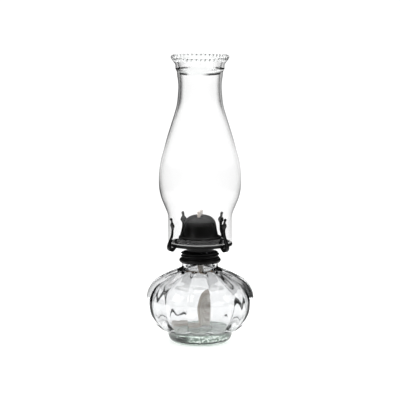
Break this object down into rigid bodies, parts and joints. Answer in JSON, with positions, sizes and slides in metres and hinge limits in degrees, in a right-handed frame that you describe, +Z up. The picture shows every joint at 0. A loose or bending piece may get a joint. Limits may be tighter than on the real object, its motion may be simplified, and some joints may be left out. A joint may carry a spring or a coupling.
{
  "type": "oil lamp",
  "caption": "Table oil lamp with a melon-ribbed glass font, a screw-on flat-wick burner with spring prongs and a bead-topped glass chimney.",
  "frame": {"origin": "middle of the foot's underside, on the surface the lamp stands on", "axes": "+Z up along the lamp's own axis, -Y to the front, +X to the right seen from the front; the wick-raising wheel points to the back"},
  "size_m": [0.1148, 0.117, 0.3054],
  "materials": {
    "clear_glass": "clear pressed and blown soda-lime glass, slightly green where it is thick",
    "black_steel": "satin black enamel on thin pressed steel",
    "steel": "plain drawn and stamped steel",
    "cork": "pressed cork",
    "cotton": "flat woven off-white cotton wick"
  },
  "bodies": {
    "font": {"font": "clear_glass"},
    "seal": {"cap_gasket": "cork"},
    "burner": {"screw_cap": "black_steel", "burner_bowl": "black_steel", "gallery": "black_steel", "air_plate": "black_steel", "flame_dome": "black_steel", "wick_tube": "black_steel", "raiser_housing": "black_steel", "shaft_bush": "steel", "prong_rivet_front_left": "black_steel", "prong_rivet_front_right": "black_steel", "prong_rivet_back_right": "black_steel", "prong_rivet_back_left": "black_steel", "wick_tail": "cotton"},
    "raiser": {"wick_shaft": "steel", "star_wheel_1": "steel", "star_wheel_2": "steel", "star_wheel_3": "steel", "thumb_wheel": "black_steel"},
    "wick": {"wick": "cotton"},
    "spring_front_left": {"prong_front_left": "black_steel"},
    "spring_front_right": {"prong_front_right": "black_steel"},
    "spring_back_right": {"prong_back_right": "black_steel"},
    "spring_back_left": {"prong_back_left": "black_steel"},
    "chimney": {"chimney": "clear_glass"}
  },
  "joints": [
    {"name": "cap_lift", "type": "slide", "parent": "font", "child": "seal", "axis": [0, 0, 1], "range_m": [0, 0.00705]},
    {"name": "cap_turn", "type": "hinge", "parent": "seal", "child": "burner", "pos_m": [0, 0, 0.0955], "axis": [0, 0, 1], "range_deg": [0, 720]},
    {"name": "wick_turn", "type": "hinge", "parent": "burner", "child": "raiser", "pos_m": [-0.00518, 0.0011, 0.1004], "axis": [0.2079, 0.9781, 0], "range_deg": [-127.4, 175.1]},
    {"name": "wick_slide", "type": "slide", "parent": "burner", "child": "wick", "axis": [0, 0, 1], "range_m": [-0.011, 0.008], "deforming": ["wick_tail"]},
    {"name": "chimney_lift", "type": "slide", "parent": "burner", "child": "chimney", "axis": [0, 0, 1], "range_m": [0, 0.045]},
    {"name": "prong_front_left_flex", "type": "hinge", "parent": "burner", "child": "spring_front_left", "pos_m": [-0.02147, -0.01394, 0.10575], "axis": [0.5446, -0.8387, 0], "range_deg": [0, 6], "stiffness_Nm_per_rad": 0.4},
    {"name": "prong_front_right_flex", "type": "hinge", "parent": "burner", "child": "spring_front_right", "pos_m": [0.01872, -0.01746, 0.10575], "axis": [0.682, 0.7314, 0], "range_deg": [0, 6], "stiffness_Nm_per_rad": 0.4},
    {"name": "prong_back_right_flex", "type": "hinge", "parent": "burner", "child": "spring_back_right", "pos_m": [0.01646, 0.01961, 0.10575], "axis": [-0.766, 0.6428, 0], "range_deg": [0, 6], "stiffness_Nm_per_rad": 0.4},
    {"name": "prong_back_left_flex", "type": "hinge", "parent": "burner", "child": "spring_back_left", "pos_m": [-0.01299, 0.02206, 0.10575], "axis": [-0.8616, -0.5075, 0], "range_deg": [0, 6], "stiffness_Nm_per_rad": 0.4}
  ],
  "couplings": [
    {"joint": "cap_lift", "follows": "cap_turn", "m_per_rad": 0.00055704},
    {"joint": "wick_turn", "follows": "wick_slide", "rad_per_m": -277.78}
  ]
}
